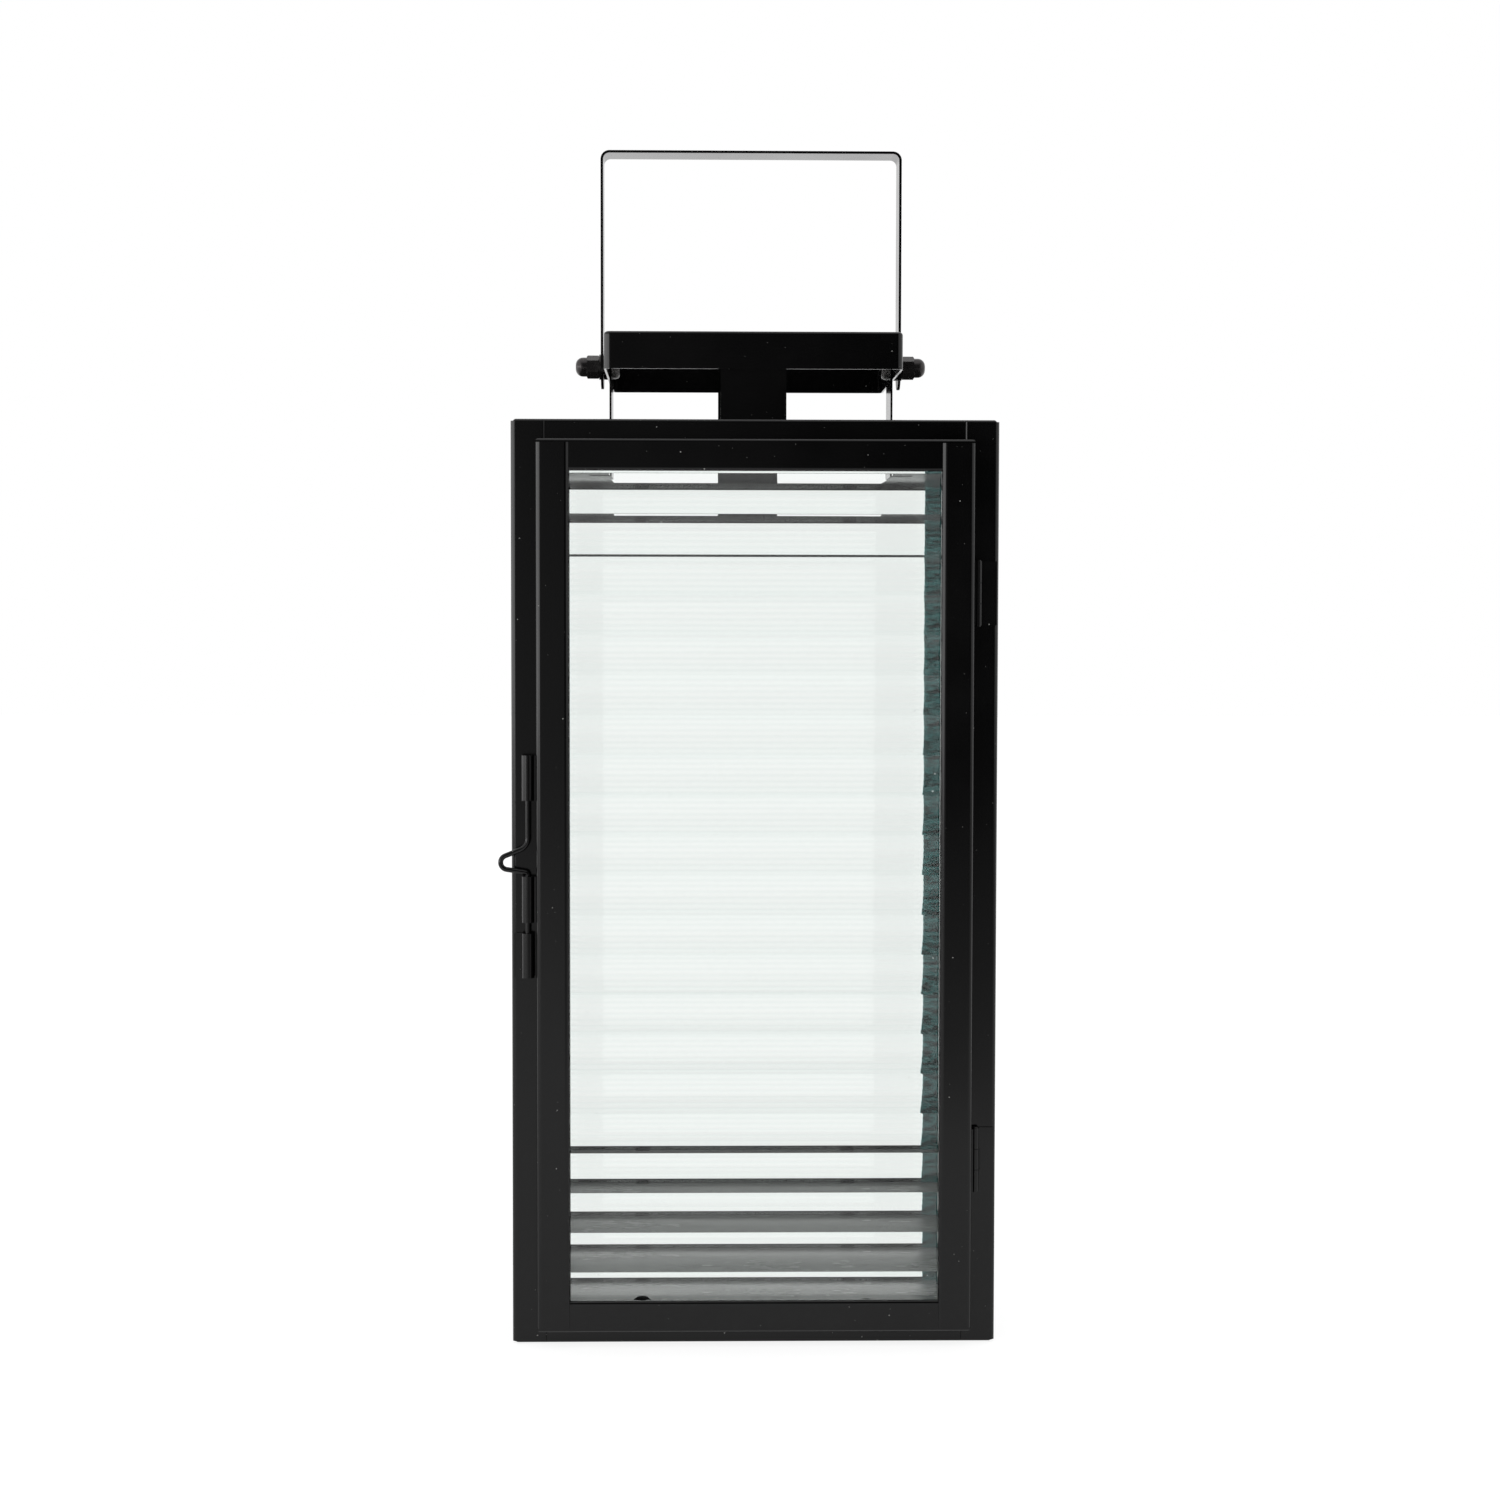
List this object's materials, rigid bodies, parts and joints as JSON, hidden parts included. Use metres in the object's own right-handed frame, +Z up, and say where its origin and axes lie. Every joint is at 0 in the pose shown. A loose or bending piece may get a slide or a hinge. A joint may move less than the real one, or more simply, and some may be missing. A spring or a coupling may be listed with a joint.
{
  "type": "candle lantern",
  "caption": "Square box lantern in black sheet steel with fluted glass sides, a latched glass door, a raised vented roof cap and a folding strap handle.",
  "frame": {"origin": "centre of the lantern's footprint, on the surface it stands on", "axes": "+Z up, the door faces -Y, the door's hinges are on +X"},
  "size_m": [0.1847, 0.1872, 0.4549],
  "materials": {
    "black_steel": "satin black paint on sheet steel",
    "black_fittings": "satin black paint on rolled sheet and wire",
    "black_hardware": "satin black paint on screws, rings and nuts",
    "black_clips": "satin black paint on thin clips",
    "fluted_glass": "clear with horizontal flutes"
  },
  "bodies": {
    "lantern_body": {"base_pan": "black_steel", "top_pan": "black_steel", "front_left_post": "black_steel", "front_right_post": "black_steel", "rear_left_post": "black_steel", "rear_right_post": "black_steel", "left_glass": "fluted_glass", "right_glass": "fluted_glass", "rear_glass": "fluted_glass", "body_glass_clips": "black_clips", "roof_cap": "black_steel", "handle_bolts": "black_hardware", "handle_spacers": "black_hardware", "handle_washers": "black_hardware", "acorn_nuts": "black_hardware", "lower_hinge_body_leaf": "black_fittings", "upper_hinge_body_leaf": "black_fittings", "hinge_pins": "black_fittings", "latch_keeper": "black_fittings"},
    "door": {"door_left_stile": "black_steel", "door_right_stile": "black_steel", "door_top_rail": "black_steel", "door_bottom_rail": "black_steel", "door_glass": "fluted_glass", "door_glass_clips": "black_clips", "lower_hinge_door_leaf": "black_fittings", "upper_hinge_door_leaf": "black_fittings", "lower_latch_guide": "black_fittings", "upper_latch_guide": "black_fittings"},
    "latch_bolt": {"latch_bolt": "black_fittings"},
    "handle": {"handle": "black_steel"}
  },
  "joints": [
    {"name": "door_hinge", "type": "hinge", "parent": "lantern_body", "child": "door", "pos_m": [0.0822, -0.0917, 0.1708], "axis": [0, 0, 1], "range_deg": [0, 112]},
    {"name": "latch_slide", "type": "slide", "parent": "door", "child": "latch_bolt", "axis": [0, 0, 1], "range_m": [0, 0.014]},
    {"name": "handle_pivot", "type": "hinge", "parent": "lantern_body", "child": "handle", "pos_m": [0, 0, 0.3703], "axis": [1, 0, 0], "range_deg": [-102, 102]}
  ]
}
